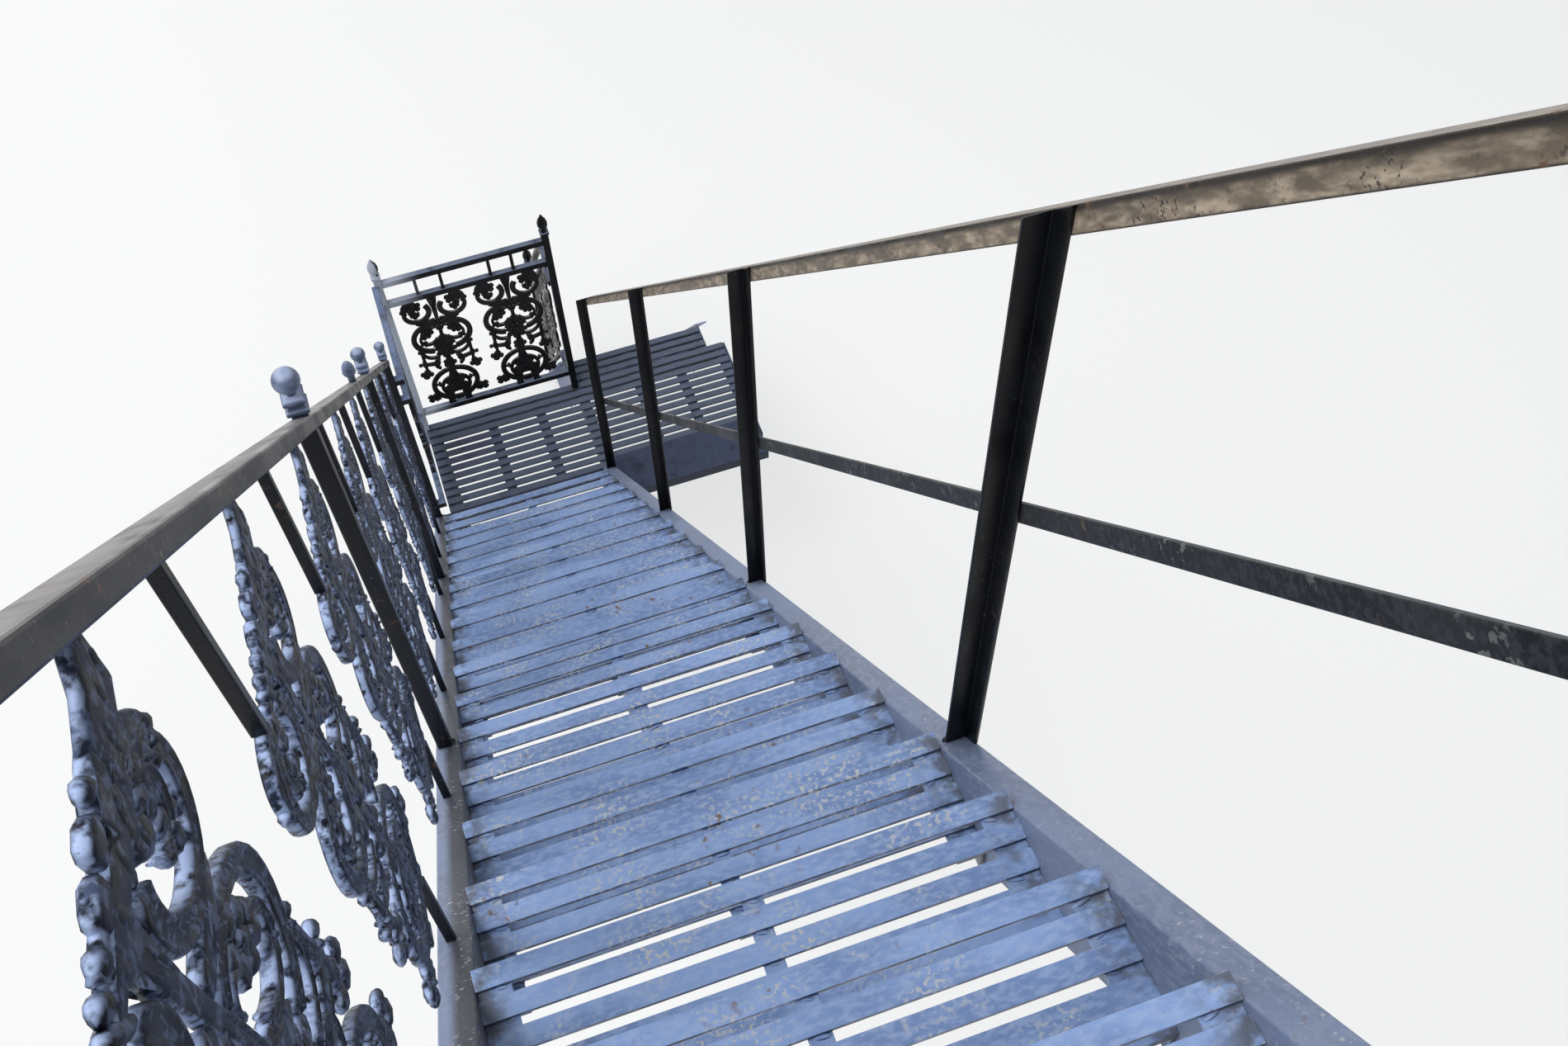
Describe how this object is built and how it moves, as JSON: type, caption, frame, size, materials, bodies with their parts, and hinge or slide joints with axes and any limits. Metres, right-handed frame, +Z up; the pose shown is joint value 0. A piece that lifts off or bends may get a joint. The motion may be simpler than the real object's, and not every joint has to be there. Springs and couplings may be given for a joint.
{
  "type": "fire escape stair",
  "caption": "Straight steel fire escape stair with slatted treads, scroll-cast guards, a slatted landing on a wall and a short lower flight.",
  "frame": {"origin": "centre of the wall plate's face that is bolted to the wall, beside the landing", "axes": "+X out of that face, into the wall; +Y level, the way the stair descends; +Z up"},
  "size_m": [1.37, 5.345, 6.465],
  "materials": {
    "treads": "worn satin",
    "stringers": "worn satin",
    "landing": "satin",
    "frame": "satin",
    "right_guard": "satin",
    "right_rail": "weathered matte",
    "left_rail": "worn satin",
    "guard_bars": "satin",
    "castings": "painted satin"
  },
  "bodies": {
    "root": {"top_wall_plate": "frame", "upper_stringer_left": "stringers", "upper_stringer_right": "stringers", "tread_01": "treads", "tread_02": "treads", "tread_03": "treads", "tread_04": "treads", "tread_05": "treads", "tread_06": "treads", "tread_07": "treads", "tread_08": "treads", "tread_09": "treads", "tread_10": "treads", "tread_11": "treads", "tread_12": "treads", "tread_13": "treads", "tread_14": "treads", "tread_15": "treads", "tread_16": "treads", "tread_17": "treads", "tread_18": "treads", "tread_19": "treads", "tread_20": "treads", "tread_21": "treads", "right_posts": "right_guard", "right_handrail": "right_rail", "right_mid_rail": "right_guard", "left_handrail": "left_rail", "left_posts": "guard_bars", "left_finials": "left_rail", "left_castings": "castings", "left_pickets": "guard_bars", "landing_slats": "landing", "landing_frame": "frame", "landing_edge_plate": "landing", "landing_wall_plate": "frame", "landing_legs": "frame", "far_guard_posts": "guard_bars", "far_guard_rails": "guard_bars", "far_guard_castings": "castings", "side_guard": "guard_bars", "lower_stringers": "stringers", "lower_treads": "treads", "lower_guard_frame": "guard_bars", "lower_guard_castings": "castings"}
  },
  "joints": []
}
